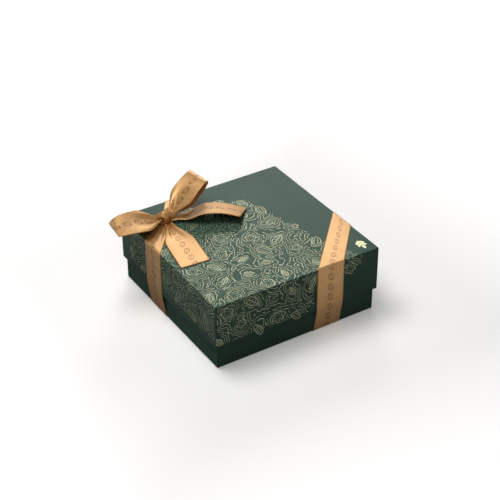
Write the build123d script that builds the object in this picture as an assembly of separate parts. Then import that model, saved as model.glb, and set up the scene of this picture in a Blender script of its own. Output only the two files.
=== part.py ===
from build123d import *
import os
from math import cos, hypot, pi, radians, sin

# A square gift box of chocolates: a paper-covered board base, a deep lift-off lid, and a satin
# ribbon that lies aslant over two corners of the lid and is tied in a bow above one of them.
# Millimetres, +Z up. The origin is the centre of the footprint on the table. The lid's sides
# are square to X and Y: the front side faces -Y, the left side faces -X, and the bow stands
# near the corner between the left side and the back.

# Lid and base, outside
lid_side = 150.0
lid_skirt = 38.7
base_height = 57.2
slip = 0.3
edge_round = 0.6

# Boards and papers
board = 1.5
paper = 0.2
lining = 0.18
stay_paper = 0.15
stay_width = 14.0
turn_in = 14.0
pad_margin = 3.0
pad_thickness = 4.0
pad_border = 6.0
pad_edge = 1.2

# Ribbon, and where it crosses the lid's edges, measured along them from the nearest corner
ribbon_width = 25.0
ribbon_thickness = 0.35
front_from_right = 45.8
right_from_front = 50.4
left_from_back = 54.3
back_from_left = 54.0
front_lean = 1.3
left_lean = 2.3

# Bow
knot_length = 10.0
knot_depth = 10.6
knot_height = 11.0
knot_heading = 17.0
knot_neck = 2.0
knot_sink = 0.6
knot_share = 0.488
knot_pull = 1.0
knot_waist = 9.0
soft_gap = 0.3
pinch = 6.4
loop_gape = 4.7
loop_root_gap = 1.4
loop_crease = 1.8
right_loop_reach = 32.1
right_loop_heading = 14.2
right_loop_rise = 21.0
right_loop_skew = -9.5
right_loop_roll = -3.5
right_loop_cant = 1.5
right_loop_bend = -0.9
left_loop_reach = 40.5
left_loop_heading = 179.8
left_loop_rise = 3.0
left_loop_skew = -8.9
left_loop_roll = 4.5
left_loop_cant = -5.0
left_loop_bend = 2.6
tail_drop = 3.0
right_tail_reach = 56.3
right_tail_heading = -24.5
right_tail_arch = 3.8
right_tail_sag = 3.2
right_tail_bend = 5.0
right_tail_first_tilt = -6.0
right_tail_tilt = -15.2
right_tail_skew = -20.8
front_tail_reach = 59.0
front_tail_heading = -99.0
front_tail_skew = 5.0
tail_crease = 1.2

# Trays and chocolates
pockets_each_way = 4
film = 0.5
tray_slack = 0.6
tray_rim = 4.0
pocket_land = 4.2
pocket_depth = 16.0
pocket_draft = 2.0
pocket_corner = 2.5
thumb_radius = 9.0
layer_pad = 2.0
layer_pad_slack = 1.0
praline_slack = 0.7
praline_proud = 1.5

# Heights, from the table up
floor_z = ribbon_thickness
rim_z = floor_z + base_height
lid_top_z = rim_z + lining + board + paper
skirt_z = lid_top_z - lid_skirt
lid_half = lid_side / 2
lid_wall = paper + board + paper
base_side = lid_side - 2 * (lid_wall + slip)
base_half = base_side / 2
cavity_side = base_side - 2 * (paper + board + max(paper, lining))
cavity_z = floor_z + paper + board + lining
pad_z = rim_z - pad_thickness
stack_height = pad_z - soft_gap - cavity_z
tray_height = (stack_height - layer_pad - 2 * praline_proud) / 2
tray_side = cavity_side - 2 * tray_slack
pocket_pitch = (tray_side - 2 * tray_rim) / pockets_each_way
pocket_mouth = pocket_pitch - pocket_land
pocket_floor = pocket_mouth - 2 * pocket_draft
praline_side = pocket_floor - 2 * praline_slack
praline_height = pocket_depth + praline_proud

overrun = 1.0
flat_share = 1e-9
oval_sides = 20


def save(name, *solids):
    """Write one sub-part, which may be a group of separate solids."""
    shape = solids[0] if len(solids) == 1 else Compound(children=list(solids))
    export_step(shape, f"parts/{name}.step")


def block(side, low, high):
    """A square upright block on the Z axis, from one height to another."""
    return Pos(0, 0, (low + high) / 2) * Box(side, side, high - low)


def only_solid(shape):
    """The single solid of a shape."""
    return shape.solids()[0]


def skin(sections):
    """A closed solid with flat facets, stretched over outlines with as many points each."""
    outlines = [sections[0], sections[-1]]
    for near, far in zip(sections, sections[1:]):
        for index, corner in enumerate(near):
            after = (index + 1) % len(near)
            quad = [corner, near[after], far[after], far[index]]
            if index >= len(near) / 2:
                quad = quad[1:] + quad[:1]
            lean = (quad[1] - quad[0]).cross(quad[2] - quad[0]).dot(quad[3] - quad[0])
            if abs(lean) < (quad[2] - quad[0]).length ** 3 * flat_share:
                outlines.append(quad)
            else:
                outlines.append(quad[:3])
                outlines.append([quad[0], quad[2], quad[3]])
    return Solid(Shell([Face(Wire.make_polygon(outline, close=True)) for outline in outlines]))


def cut_square(side, corner, height):
    """The outline of a square with cut corners, centred at a height."""
    half = side / 2
    cut = half - corner
    quarter = [Vector(half, cut, height), Vector(cut, half, height)]
    outline = []
    for turn in (0, 90, 180, 270):
        outline += [point.rotate(Axis.Z, turn) for point in quarter]
    return outline


def oval(half_x, half_y, height):
    """The outline of an oval of short chords, centred at a height."""
    turns = [2 * pi * (step + 0.5) / oval_sides for step in range(oval_sides)]
    return [Vector(half_x * cos(turn), half_y * sin(turn), height) for turn in turns]


# Paper-covered board trays

def rounded_block(side, low, high, radius):
    """A block whose upright edges and lower edges are rounded, as wrapped board is."""
    shape = block(side, low, high)
    upright = shape.edges().filter_by(Axis.Z)
    lower = shape.edges().group_by(Axis.Z)[0]
    return fillet(upright + lower, radius)


def board_tray(side, depth):
    """A wrapped tray, closed face down on z = 0: its board, corner stays, wrap and lining."""
    board_side = side - 2 * paper
    well_side = board_side - 2 * board
    mouth_side = well_side - 2 * paper
    well_z = paper + board
    band_z = depth - turn_in
    board_round = edge_round - paper
    body = rounded_block(board_side, paper, depth - paper, board_round)
    well = block(well_side, well_z, depth)

    recess_side = board_side - 2 * stay_paper
    core = block(recess_side, 0, depth)
    core = fillet(core.edges().filter_by(Axis.Z), board_round - stay_paper)
    outer = body & block(side, well_z, depth) - core
    reach = (side - stay_width) / 2
    stays = []
    for x_sign, y_sign in ((1, 1), (-1, 1), (-1, -1), (1, -1)):
        corner = Pos(x_sign * reach, y_sign * reach, depth / 2) * Box(stay_width, stay_width, depth)
        stays.append(only_solid(outer & corner))

    walls = body - well
    for stay in stays:
        walls = walls - stay
    wrap = rounded_block(side, 0, depth, edge_round) - body
    wrap = wrap - block(mouth_side, band_z, depth + overrun)
    wrap = wrap + (block(well_side, band_z, depth - paper) - block(mouth_side, band_z, depth))
    liner = block(well_side, well_z, band_z) - block(well_side - 2 * lining, well_z + lining, depth)
    return only_solid(walls), stays, only_solid(wrap), only_solid(liner)


def make_base():
    walls, stays, wrap, liner = board_tray(base_side, base_height)
    place = Pos(0, 0, floor_z)
    save("base_board", place * walls)
    save("base_corner_stays", *[place * stay for stay in stays])
    save("base_wrap", place * wrap)
    save("base_lining", place * liner)


def make_lid():
    walls, stays, wrap, liner = board_tray(lid_side, lid_skirt)
    place = Pos(0, 0, lid_top_z) * Rot(180, 0, 0)
    save("lid_board", place * walls)
    save("lid_corner_stays", *[place * stay for stay in stays])
    save("lid_wrap", place * wrap)
    save("lid_lining", place * liner)


def make_cushion_pad():
    """The pad of soft paper under the lid, crowned towards the chocolates, with pressed edges."""
    side = cavity_side - 2 * pad_margin
    inner = side - 2 * pad_border
    rim = block(side, rim_z - pad_edge, rim_z)
    wide = Pos(0, 0, rim_z - pad_edge) * Rectangle(side - pad_border, side - pad_border)
    narrow = Pos(0, 0, pad_z) * Rectangle(inner, inner)
    crown = loft([wide, narrow], ruled=True)
    save("lid_cushion_pad", only_solid(rim + crown))


# Trays, layer pad and chocolates

def pocket_places():
    """The centres of the pockets, row by row from the front left."""
    first = -(pockets_each_way - 1) / 2
    steps = [(first + step) * pocket_pitch for step in range(pockets_each_way)]
    return [(x, y) for y in steps for x in steps]


def make_tray(name, low):
    """A thermoformed tray: a deck on a drafted skirt, with a cup for each chocolate."""
    high = low + tray_height
    deck_z = high - film
    inner_side = tray_side - 2 * film
    tray = block(tray_side, low, high) - block(inner_side, low - overrun, deck_z)
    outer_cup = skin([cut_square(pocket_floor + 2 * film, pocket_corner, deck_z - pocket_depth),
                      cut_square(pocket_mouth + 2 * film, pocket_corner, high)])
    inner_cup = skin([cut_square(pocket_floor, pocket_corner, high - pocket_depth),
                      cut_square(pocket_mouth, pocket_corner, high)])
    places = pocket_places()
    tray = tray + [Pos(x, y, 0) * outer_cup for x, y in places]
    tray = tray - [Pos(x, y, 0) * inner_cup for x, y in places]
    save(name, only_solid(tray))


def make_layer_pad(low):
    """The board between the layers, with a thumb notch in two of its sides."""
    side = cavity_side - 2 * layer_pad_slack
    sheet = block(side, low, low + layer_pad)
    notch_height = layer_pad + 2 * overrun
    for x_sign in (-1, 1):
        notch = Cylinder(thumb_radius, notch_height)
        sheet = sheet - Pos(x_sign * side / 2, 0, low + layer_pad / 2) * notch
    save("layer_pad", only_solid(sheet))


def square_praline():
    """A square block with drafted sides and a bevelled edge."""
    draft = praline_side / 20
    bevel = praline_side / 10
    shoulder = praline_height * 3 / 4
    top_side = praline_side - 2 * draft
    return skin([cut_square(praline_side, pocket_corner, 0),
                 cut_square(top_side, pocket_corner, shoulder),
                 cut_square(top_side - 2 * bevel, pocket_corner, praline_height)])


def dome_praline():
    """A round block with a wider foot and a domed crown, flat on top."""
    radius = praline_side / 2
    foot = praline_height / 8
    waist = radius * 9 / 10
    spring = praline_height * 2 / 5
    sections = [oval(radius, radius, 0), oval(radius, radius, foot), oval(waist, waist, spring)]
    for turn in (20, 40, 60, 78):
        reach = waist * cos(radians(turn))
        share = sin(radians(turn)) / sin(radians(78))
        sections.append(oval(reach, reach, spring + (praline_height - spring) * share))
    return skin(sections)


def oval_praline():
    """An oval block with drafted sides and a raised, stepped top."""
    long_half = praline_side / 2
    short_half = long_half * 7 / 10
    step = short_half / 6
    shoulder = praline_height * 2 / 3
    brow = praline_height * 9 / 10
    return skin([oval(long_half, short_half, 0),
                 oval(long_half - step / 2, short_half - step / 2, shoulder),
                 oval(long_half - 2 * step, short_half - 2 * step, brow),
                 oval(long_half - 3 * step, short_half - 3 * step, praline_height)])


def pyramid_praline():
    """A pyramid with a cut tip on a square foot."""
    foot = praline_height / 3
    tip = praline_side / 3
    return skin([cut_square(praline_side, pocket_corner, 0),
                 cut_square(praline_side, pocket_corner, foot),
                 cut_square(tip, tip / 6, praline_height)])


def make_pralines(layer, low):
    """One layer of chocolates, a node for each kind: each row holds one of every kind."""
    floor = low + tray_height - pocket_depth
    kinds = (("square", square_praline), ("dome", dome_praline),
             ("oval", oval_praline), ("pyramid", pyramid_praline))
    places = pocket_places()
    for number, (kind, shape) in enumerate(kinds):
        form = shape()
        group = []
        for index, (x, y) in enumerate(places):
            row, column = divmod(index, pockets_each_way)
            if (row + column) % len(kinds) == number:
                group.append(Pos(x, y, floor) * form)
        save(f"{layer}_{kind}_pralines", *group)


# The ribbon round the box

lid_out = lid_half + ribbon_thickness
base_out = base_half + ribbon_thickness
front_x = lid_half - front_from_right
right_y = -lid_half + right_from_front
left_y = lid_half - left_from_back
back_x = -lid_half + back_from_left
front_foot_x = front_x - front_lean
left_foot_y = left_y - left_lean
ribbon_half = ribbon_width / 2


def flat_ribbon(points, low):
    """A flat piece of ribbon with its outline on a level."""
    return Pos(0, 0, low) * extrude(make_face(Polyline(*points, close=True)), ribbon_thickness)


def ribbon_run(top, foot):
    """One side of the band, drawn for the front: down the lid's skirt, then in to the base's foot."""
    sections = []
    for place, outside, height in ((top, lid_out, lid_top_z), (top, lid_out, skirt_z),
                                   (foot, base_out, 0)):
        centre = (place, -outside + ribbon_thickness / 2, height)
        sections.append(Pos(*centre) * Rectangle(ribbon_width, ribbon_thickness))
    return only_solid(loft(sections, ruled=True))


def make_band():
    front, right, back, left = 0, 90, 180, 270
    save("ribbon_run_front", Rot(0, 0, front) * ribbon_run(front_x, front_foot_x))
    save("ribbon_run_right", Rot(0, 0, right) * ribbon_run(right_y, right_y))
    save("ribbon_run_back", Rot(0, 0, back) * ribbon_run(-back_x, -back_x))
    save("ribbon_run_left", Rot(0, 0, left) * ribbon_run(-left_y, -left_foot_y))
    save("ribbon_top_right", flat_ribbon(
        [(front_x - ribbon_half, -lid_out), (front_x + ribbon_half, -lid_out),
         (lid_out, right_y - ribbon_half), (lid_out, right_y + ribbon_half)], lid_top_z))
    save("ribbon_bottom_front", flat_ribbon(
        [(front_foot_x - ribbon_half, -base_half), (front_foot_x + ribbon_half, -base_half),
         (-base_half, left_foot_y + ribbon_half), (-base_half, left_foot_y - ribbon_half)], 0))
    save("ribbon_bottom_back", flat_ribbon(
        [(base_half, right_y - ribbon_half), (base_half, right_y + ribbon_half),
         (back_x + ribbon_half, base_half), (back_x - ribbon_half, base_half)], 0))


# The bow

crossing_start = Vector(-lid_out, left_y, lid_top_z)
crossing_end = Vector(back_x, lid_out, lid_top_z)
crossing_way = (crossing_end - crossing_start).normalized()
crossing_side = Vector(crossing_way.Y, -crossing_way.X, 0)
knot_foot = crossing_start + (crossing_end - crossing_start) * knot_share + crossing_side * knot_pull
knot_z = lid_top_z + ribbon_thickness + knot_height / 2
loop_start = knot_length / 2 + 4 * soft_gap
tail_start = knot_depth / 2 + 4 * soft_gap
lie_z = lid_top_z + ribbon_thickness + soft_gap


def make_pinched_crossing():
    """The band under the bow: full width at the lid's edges, drawn together under the knot."""
    waist = crossing_side * (knot_waist / 2)
    near = knot_foot + waist
    far = knot_foot - waist
    save("ribbon_top_left", flat_ribbon(
        [(-lid_out, left_y - ribbon_half), (near.X, near.Y), (back_x + ribbon_half, lid_out),
         (back_x - ribbon_half, lid_out), (far.X, far.Y), (-lid_out, left_y + ribbon_half)],
        lid_top_z))


def make_knot():
    """The knot: a full bundle between the loops, rounded off to its necks and flat where it sits."""
    sections = []
    for turn in (-90, -60, -30, 0, 30, 60, 90):
        along = knot_length / 2 * sin(radians(turn))
        slack = knot_neck * (1 - cos(radians(turn)))
        outline = oval(knot_depth / 2 - slack, knot_height / 2 - slack, 0)
        sections.append([Vector(along, point.X, knot_z + point.Y) for point in outline])
    low = lid_top_z + ribbon_thickness
    foot = Pos(0, 0, low - knot_height / 2) * Box(knot_length, knot_depth, knot_height)
    sunk = Pos(0, 0, -knot_sink) * skin(sections)
    form = only_solid(sunk - foot)
    save("bow_knot", Pos(knot_foot.X, knot_foot.Y, 0) * Rot(0, 0, knot_heading) * form)


def ease(share):
    """A smooth step from nought to one."""
    share = min(max(share, 0), 1)
    return share * share * (3 - 2 * share)


def strip(stations):
    """A ribbon through stations of centre, way across, outward normal, half width and crease."""
    sections = []
    for centre, across, normal, half, crease in stations:
        face = normal * (ribbon_thickness / 2)
        left = centre - across * half
        middle = centre + crease
        right = centre + across * half
        sections.append([left + face, middle + face, right + face,
                         right - face, middle - face, left - face])
    return skin(sections)


def way(angle, tilt=0):
    """The unit vector of a heading in plan and a tilt above it."""
    return Vector(cos(radians(angle)) * cos(radians(tilt)), sin(radians(angle)) * cos(radians(tilt)),
                  sin(radians(tilt)))


def make_loop(name, reach, heading, rise, skew, roll, cant, bend):
    """A bow loop: one strip that leaves the knot, folds back at its tip and returns below.

    The cant turns its two layers against each other, and the bend sets them side by side.
    """
    steps = 14
    spread_share = 0.46
    crease_share = 0.5
    root = Vector(knot_foot.X, knot_foot.Y, knot_z) + way(heading) * loop_start
    run = (way(heading) * reach + Vector(0, 0, rise)).normalized()
    length = hypot(reach, rise)
    lift = run.cross(way(heading + 90))

    def place(turn):
        along = length * (1 - cos(turn)) / 2
        height = loop_gape * sin(turn) * sin(turn / 2) + loop_root_gap / 2 * cos(turn / 2)
        aside = way(heading + 90) * (bend * sin(turn))
        return along, root + run * along + lift * height + aside

    stations = []
    for step in range(steps + 1):
        turn = 2 * pi * step / steps
        along, centre = place(turn)
        share = along / length
        across = way(heading + 90 + skew * ease(share), roll * share + cant * sin(turn))
        half = (pinch + (ribbon_width - pinch) * ease(share / spread_share)) / 2
        inside = min(max(turn, pi / steps), 2 * pi - pi / steps)
        behind = place(inside - pi / steps)[1]
        ahead = place(inside + pi / steps)[1]
        normal = (ahead - behind).cross(across).normalized()
        side = 1 if turn < pi else -1
        fold = loop_crease * (1 - ease(share / crease_share))
        stations.append((centre, across, normal, half, normal * -side * fold))
    save(name, strip(stations))


def make_tail(name, reach, heading, fall_power, end_z, arch, sag, bend, first_tilt, tilt, skew):
    """A bow tail: a strip from the knot that sags and arches, or falls, to the lid."""
    steps = 9
    spread_share = 0.5
    crease_share = 0.35
    root = Vector(knot_foot.X, knot_foot.Y, knot_z - tail_drop) + way(heading) * tail_start
    spread = ribbon_width - pinch

    def place(share):
        hump = 4 * share * (1 - share)
        height = (end_z - root.Z) * (1 - (1 - share) ** fall_power) + arch * hump
        height -= sag * sin(pi * min(2 * share, 1)) ** 2
        aside = way(heading + 90) * (bend * hump)
        return root + way(heading) * (reach * share) + aside + Vector(0, 0, height)

    stations = []
    for step in range(steps + 1):
        share = step / steps
        across = way(heading + 90 + skew * share, first_tilt * (1 - share) + tilt * share)
        half = (pinch + spread * ease(share / spread_share)) / 2
        behind = place(max(share - 1 / steps, 0))
        ahead = place(min(share + 1 / steps, 1))
        normal = (ahead - behind).cross(across).normalized()
        fold = tail_crease * (1 - ease(share / crease_share))
        stations.append((place(share), across, normal, half, normal * fold * -1))
    save(name, strip(stations))


def make_bow():
    make_pinched_crossing()
    make_knot()
    make_loop("bow_loop_right", right_loop_reach, right_loop_heading, right_loop_rise,
              right_loop_skew, right_loop_roll, right_loop_cant, right_loop_bend)
    make_loop("bow_loop_left", left_loop_reach, left_loop_heading, left_loop_rise,
              left_loop_skew, left_loop_roll, left_loop_cant, left_loop_bend)
    tilt_rise = ribbon_half * sin(radians(-right_tail_tilt))
    make_tail("bow_tail_right", right_tail_reach, right_tail_heading, 1, lie_z + tilt_rise,
              right_tail_arch, right_tail_sag, right_tail_bend, right_tail_first_tilt,
              right_tail_tilt, right_tail_skew)
    make_tail("bow_tail_front", front_tail_reach, front_tail_heading, 3, lie_z,
              0, 0, 0, 0, 0, front_tail_skew)


os.makedirs("parts", exist_ok=True)
make_base()
make_lid()
make_cushion_pad()
lower_z = cavity_z
upper_z = lower_z + tray_height + praline_proud + layer_pad
make_tray("lower_tray", lower_z)
make_pralines("lower", lower_z)
make_layer_pad(upper_z - layer_pad)
make_tray("upper_tray", upper_z)
make_pralines("upper", upper_z)
make_band()
make_bow()
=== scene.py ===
"""Dresses the chocolate box: papers, foil print, satin ribbon and bow, trays and chocolates."""

import random
from collections import namedtuple
from math import atan2, cos, hypot, pi, radians, sin

import bmesh
import bpy
from mathutils import Matrix, Vector, noise


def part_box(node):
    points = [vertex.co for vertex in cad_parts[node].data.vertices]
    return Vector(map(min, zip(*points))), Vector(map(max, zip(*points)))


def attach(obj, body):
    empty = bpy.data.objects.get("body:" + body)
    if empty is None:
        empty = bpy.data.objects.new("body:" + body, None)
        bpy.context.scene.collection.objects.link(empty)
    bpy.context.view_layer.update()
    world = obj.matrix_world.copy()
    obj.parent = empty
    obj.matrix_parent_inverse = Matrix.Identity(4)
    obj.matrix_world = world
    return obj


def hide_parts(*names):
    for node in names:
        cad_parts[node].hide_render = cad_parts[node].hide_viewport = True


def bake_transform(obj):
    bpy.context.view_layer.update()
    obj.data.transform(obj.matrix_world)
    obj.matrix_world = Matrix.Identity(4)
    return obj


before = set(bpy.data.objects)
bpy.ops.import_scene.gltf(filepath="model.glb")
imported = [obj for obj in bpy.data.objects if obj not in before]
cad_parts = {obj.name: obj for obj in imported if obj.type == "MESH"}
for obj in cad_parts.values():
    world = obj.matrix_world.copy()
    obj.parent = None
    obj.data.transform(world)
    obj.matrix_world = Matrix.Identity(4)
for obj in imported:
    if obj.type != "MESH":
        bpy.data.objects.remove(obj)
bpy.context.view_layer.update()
scene = bpy.context.scene
mm = 0.001

# The ribbon's width, and sizes read from the parts in model.glb, in metres

ribbon_width = 25 * mm
lid_low, lid_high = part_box("lid_wrap")
lid_half = lid_high.x
base_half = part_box("base_wrap")[1].x
lid_top = lid_high.z
skirt_z = lid_low.z
top_right_low, top_right_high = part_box("ribbon_top_right")
top_left_low, top_left_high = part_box("ribbon_top_left")
bottom_front_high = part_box("ribbon_bottom_front")[1]
satin_thickness = top_right_high.z - top_right_low.z
ribbon_half = ribbon_width / 2
front_x = top_right_low.x + ribbon_half
right_y = top_right_high.y - ribbon_half
back_x = top_left_high.x - ribbon_half
left_y = top_left_low.y + ribbon_half
front_foot_x = bottom_front_high.x - ribbon_half
left_foot_y = bottom_front_high.y - ribbon_half
knot_low, knot_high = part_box("bow_knot")
knot_centre = (knot_low + knot_high) / 2


# Finishes

def tone(red, green, blue):
    """A colour read on a 0 to 255 scale, as linear light."""
    shares = [value / 255 for value in (red, green, blue)]
    return (*[s / 12.92 if s <= 0.04045 else ((s + 0.055) / 1.055) ** 2.4 for s in shares], 1)


def new_finish(name, **sockets):
    """A material with constants on its shader's sockets, and its node tree."""
    material = bpy.data.materials.new(name)
    material.use_nodes = True
    tree = material.node_tree
    for socket, value in sockets.items():
        tree.nodes["Principled BSDF"].inputs[socket.replace("_", " ")].default_value = value
    return material, tree


def node(tree, kind, inputs=None, **settings):
    """A shader node. Inputs are numbers and colours, or outputs to link from."""
    made = tree.nodes.new("ShaderNode" + kind)
    for key, value in settings.items():
        setattr(made, key, value)
    for key, value in (inputs or {}).items():
        if isinstance(value, bpy.types.NodeSocket):
            tree.links.new(value, made.inputs[key])
        else:
            made.inputs[key].default_value = value
    return made


def position(tree, scale=(1, 1, 1)):
    """Object coordinates, stretched by a Mapping node."""
    place = node(tree, "TexCoord").outputs["Object"]
    return node(tree, "Mapping", {"Vector": place, "Scale": scale}).outputs[0]


def grain(tree, place, scale, detail=3.0, roughness=0.6):
    """Noise over a place."""
    return node(tree, "TexNoise", {"Vector": place, "Scale": scale, "Detail": detail,
                                   "Roughness": roughness}).outputs["Fac"]


def ramp(tree, value, low, high, to_low=0.0, to_high=1.0):
    """A value taken from one range to another, and kept inside it."""
    return node(tree, "MapRange", {"Value": value, "From Min": low, "From Max": high,
                                   "To Min": to_low, "To Max": to_high}).outputs[0]


def mix(tree, share, first, second):
    """Two colours mixed by a share. Each may be an output."""
    return node(tree, "Mix", {0: share, 6: first, 7: second}, data_type="RGBA").outputs[2]


def two_tone(tree, value, first, second, low=0.3, high=0.7, most=1.0):
    """From one colour to another as a value rises, up to a share of the second."""
    return mix(tree, ramp(tree, value, low, high, 0, most), first, second)


def maths(tree, operation, first, second=0.0, third=0.0):
    """One step of arithmetic. Each value may be an output."""
    return node(tree, "Math", {0: first, 1: second, 2: third}, operation=operation).outputs[0]


def surface(tree, colour, relief, depth, strength, **sockets):
    """Links the shader to a colour, to a bump of a full depth in metres, and to what else is given."""
    bump = node(tree, "Bump", {"Height": relief, "Distance": depth, "Strength": strength})
    shader = tree.nodes["Principled BSDF"]
    for socket, value in {"Base Color": colour, "Normal": bump.outputs[0], **sockets}.items():
        tree.links.new(value, shader.inputs[socket])


def wrap_paper(name):
    """Deep green coated paper: faint mottling, fine fibre grain."""
    material, tree = new_finish(name, Roughness=0.25, Specular_IOR_Level=0.05)
    place = position(tree)
    mottle = grain(tree, place, 26, 4)
    green = two_tone(tree, mottle, tone(52, 79, 65), tone(59, 86, 71), 0.35, 0.65)
    fibre = grain(tree, place, 1500, 2)
    colour = two_tone(tree, fibre, green, tone(68, 93, 78), 0.3, 0.8, 0.3)
    surface(tree, colour, fibre, 0.03 * mm, 0.5)
    return material


def bean_marks(tree, uv):
    """A row of slit cocoa beans down the ribbon's middle, drawn in mm: one where there is ink."""
    pitch, line = 9.5, 0.75
    bean_length, bean_width, slit = 7.2, 5.0, 0.6
    lean_share, slit_sway = 0.25, 0.5
    place = node(tree, "SeparateXYZ", {"Vector": uv}).outputs
    across = maths(tree, "SUBTRACT", place[0], ribbon_half / mm)
    along = maths(tree, "SUBTRACT", maths(tree, "MODULO", place[1], pitch), pitch / 2)
    lean = maths(tree, "MULTIPLY_ADD", along, lean_share, across)
    oval = node(tree, "CombineXYZ", {"X": maths(tree, "DIVIDE", lean, bean_width / 2),
                                     "Y": maths(tree, "DIVIDE", along, bean_length / 2)}).outputs[0]
    size = node(tree, "VectorMath", {0: oval}, operation="LENGTH").outputs["Value"]
    rim = maths(tree, "COMPARE", size, 1 - line / bean_width, line / bean_width)
    wave = maths(tree, "SINE", maths(tree, "MULTIPLY", along, 2 * pi / bean_length))
    sway = maths(tree, "MULTIPLY_ADD", wave, slit_sway, lean)
    parting = maths(tree, "COMPARE", sway, 0.0, slit / 2)
    parting = maths(tree, "MULTIPLY", parting, maths(tree, "LESS_THAN", size, 1))
    return maths(tree, "MAXIMUM", rim, parting)


def satin(name):
    """Copper-gold satin: a lengthwise sheen, weft ribs, woven edges and printed beans, by its UVs."""
    material, tree = new_finish(
        name, Metallic=0.5, Roughness=0.36, Specular_IOR_Level=0.6, Anisotropic=0.5)
    selvedge_width, selvedge_blend, ink_share = 0.8, 0.3, 0.9
    uv = node(tree, "TexCoord").outputs["UV"]
    across = node(tree, "SeparateXYZ", {"Vector": uv}).outputs[0]
    streak_place = node(tree, "Mapping", {"Vector": uv, "Scale": (1.3, 0.03, 1)}).outputs[0]
    streaks = grain(tree, streak_place, 1.0, 3)
    cloud = grain(tree, uv, 0.09, 2)
    copper = two_tone(tree, streaks, tone(200, 153, 95), tone(208, 162, 105))
    copper = two_tone(tree, cloud, copper, tone(191, 143, 86), 0.35, 0.7, 0.5)
    edge = maths(tree, "ABSOLUTE", maths(tree, "SUBTRACT", across, ribbon_half / mm))
    selvedge_starts = ribbon_half / mm - selvedge_width
    selvedge = ramp(tree, edge, selvedge_starts - selvedge_blend, selvedge_starts)
    copper = mix(tree, selvedge, copper, tone(179, 131, 75))
    marks = maths(tree, "MULTIPLY", bean_marks(tree, uv), ink_share)
    copper = mix(tree, marks, copper, tone(140, 92, 52))
    weft_place = node(tree, "Mapping", {"Vector": uv, "Scale": (0.4, 6.0, 1)}).outputs[0]
    weft = grain(tree, weft_place, 1.0, 1)
    relief = maths(tree, "MULTIPLY_ADD", weft, 0.35, streaks)
    relief = maths(tree, "MULTIPLY_ADD", selvedge, 0.8, relief)
    tangent = node(tree, "Tangent", direction_type="UV_MAP").outputs[0]
    surface(tree, copper, relief, 0.06 * mm, 0.6, Tangent=tangent)
    return material


def foil(name, dark_gold, light_gold):
    """Stamping foil, lightly clouded."""
    material, tree = new_finish(name, Metallic=0.6, Roughness=0.42)
    place = position(tree)
    cloud = grain(tree, place, 60, 3)
    gold = two_tone(tree, cloud, dark_gold, light_gold, 0.35, 0.65)
    surface(tree, gold, grain(tree, place, 2200, 2), 0.01 * mm, 0.5)
    return material


def board_grey(name):
    """Raw grey board: flecked pulp."""
    material, tree = new_finish(name, Roughness=0.9, Specular_IOR_Level=0.2)
    place = position(tree)
    pulp = grain(tree, place, 700, 5, 0.75)
    fleck = node(tree, "TexVoronoi", {"Vector": place, "Scale": 900.0}).outputs["Distance"]
    grey = two_tone(tree, pulp, tone(150, 143, 130), tone(178, 170, 154))
    grey = mix(tree, ramp(tree, fleck, 0.08, 0.2, 0.5, 0), grey, tone(96, 88, 78))
    surface(tree, grey, pulp, 0.05 * mm, 0.7)
    return material


def kraft(name):
    """Gummed kraft paper, with its long fibres."""
    material, tree = new_finish(name, Roughness=0.7, Specular_IOR_Level=0.3)
    fibre = grain(tree, position(tree, (1, 1, 5)), 260, 5, 0.7)
    brown = two_tone(tree, fibre, tone(176, 138, 92), tone(203, 166, 118))
    surface(tree, brown, fibre, 0.03 * mm, 0.6)
    return material


def cream_paper(name, dark, light):
    """Uncoated lining paper with a light tooth."""
    material, tree = new_finish(name, Roughness=0.78, Specular_IOR_Level=0.25)
    place = position(tree)
    cloud = grain(tree, place, 30, 3)
    cream = two_tone(tree, cloud, dark, light, 0.35, 0.65)
    surface(tree, cream, grain(tree, place, 1100, 3), 0.03 * mm, 0.6)
    return material


def gold_board(name):
    """Board faced with brushed gold foil."""
    material, tree = new_finish(name, Metallic=0.75, Roughness=0.34)
    brush = grain(tree, position(tree, (1, 24, 24)), 90, 4)
    gold = two_tone(tree, brush, tone(196, 164, 104), tone(220, 190, 132))
    surface(tree, gold, brush, 0.02 * mm, 0.5, Roughness=ramp(tree, brush, 0.3, 0.7, 0.28, 0.42))
    return material


def tray_film(name):
    """Thin brown thermoformed film, with a moulded-in satin texture."""
    material, tree = new_finish(name, Specular_IOR_Level=0.2)
    place = position(tree)
    pull = grain(tree, place, 45, 3)
    brown = two_tone(tree, pull, tone(52, 31, 20), tone(66, 41, 27))
    surface(tree, brown, grain(tree, place, 900, 2), 0.02 * mm, 0.4,
            Roughness=ramp(tree, pull, 0.3, 0.7, 0.24, 0.38))
    return material


def chocolate(name, dark, light, roughness):
    """Moulded chocolate: a soft gloss with clouded tempering."""
    material, tree = new_finish(
        name, Specular_IOR_Level=0.45, Subsurface_Weight=0.08, Subsurface_Radius=(1, 0.4, 0.25),
        Subsurface_Scale=0.6 * mm)
    place = position(tree)
    cloud = grain(tree, place, 140, 4)
    brown = two_tone(tree, cloud, dark, light, 0.35, 0.65)
    surface(tree, brown, grain(tree, place, 420, 3), 0.04 * mm, 0.5,
            Roughness=ramp(tree, cloud, 0.3, 0.7, roughness - 0.06, roughness + 0.08))
    return material


def cocoa_dust(name):
    """Chocolate under sifted cocoa, thicker in places."""
    material, tree = new_finish(name, Roughness=0.95, Specular_IOR_Level=0.1)
    place = position(tree)
    sifted = grain(tree, place, 900, 5, 0.8)
    drift = grain(tree, place, 170, 3)
    cocoa = two_tone(tree, drift, tone(92, 56, 36), tone(122, 78, 50), 0.35, 0.65)
    cocoa = two_tone(tree, sifted, cocoa, tone(70, 40, 26), 0.35, 0.7, 0.5)
    surface(tree, cocoa, sifted, 0.25 * mm, 0.9)
    return material


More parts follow.
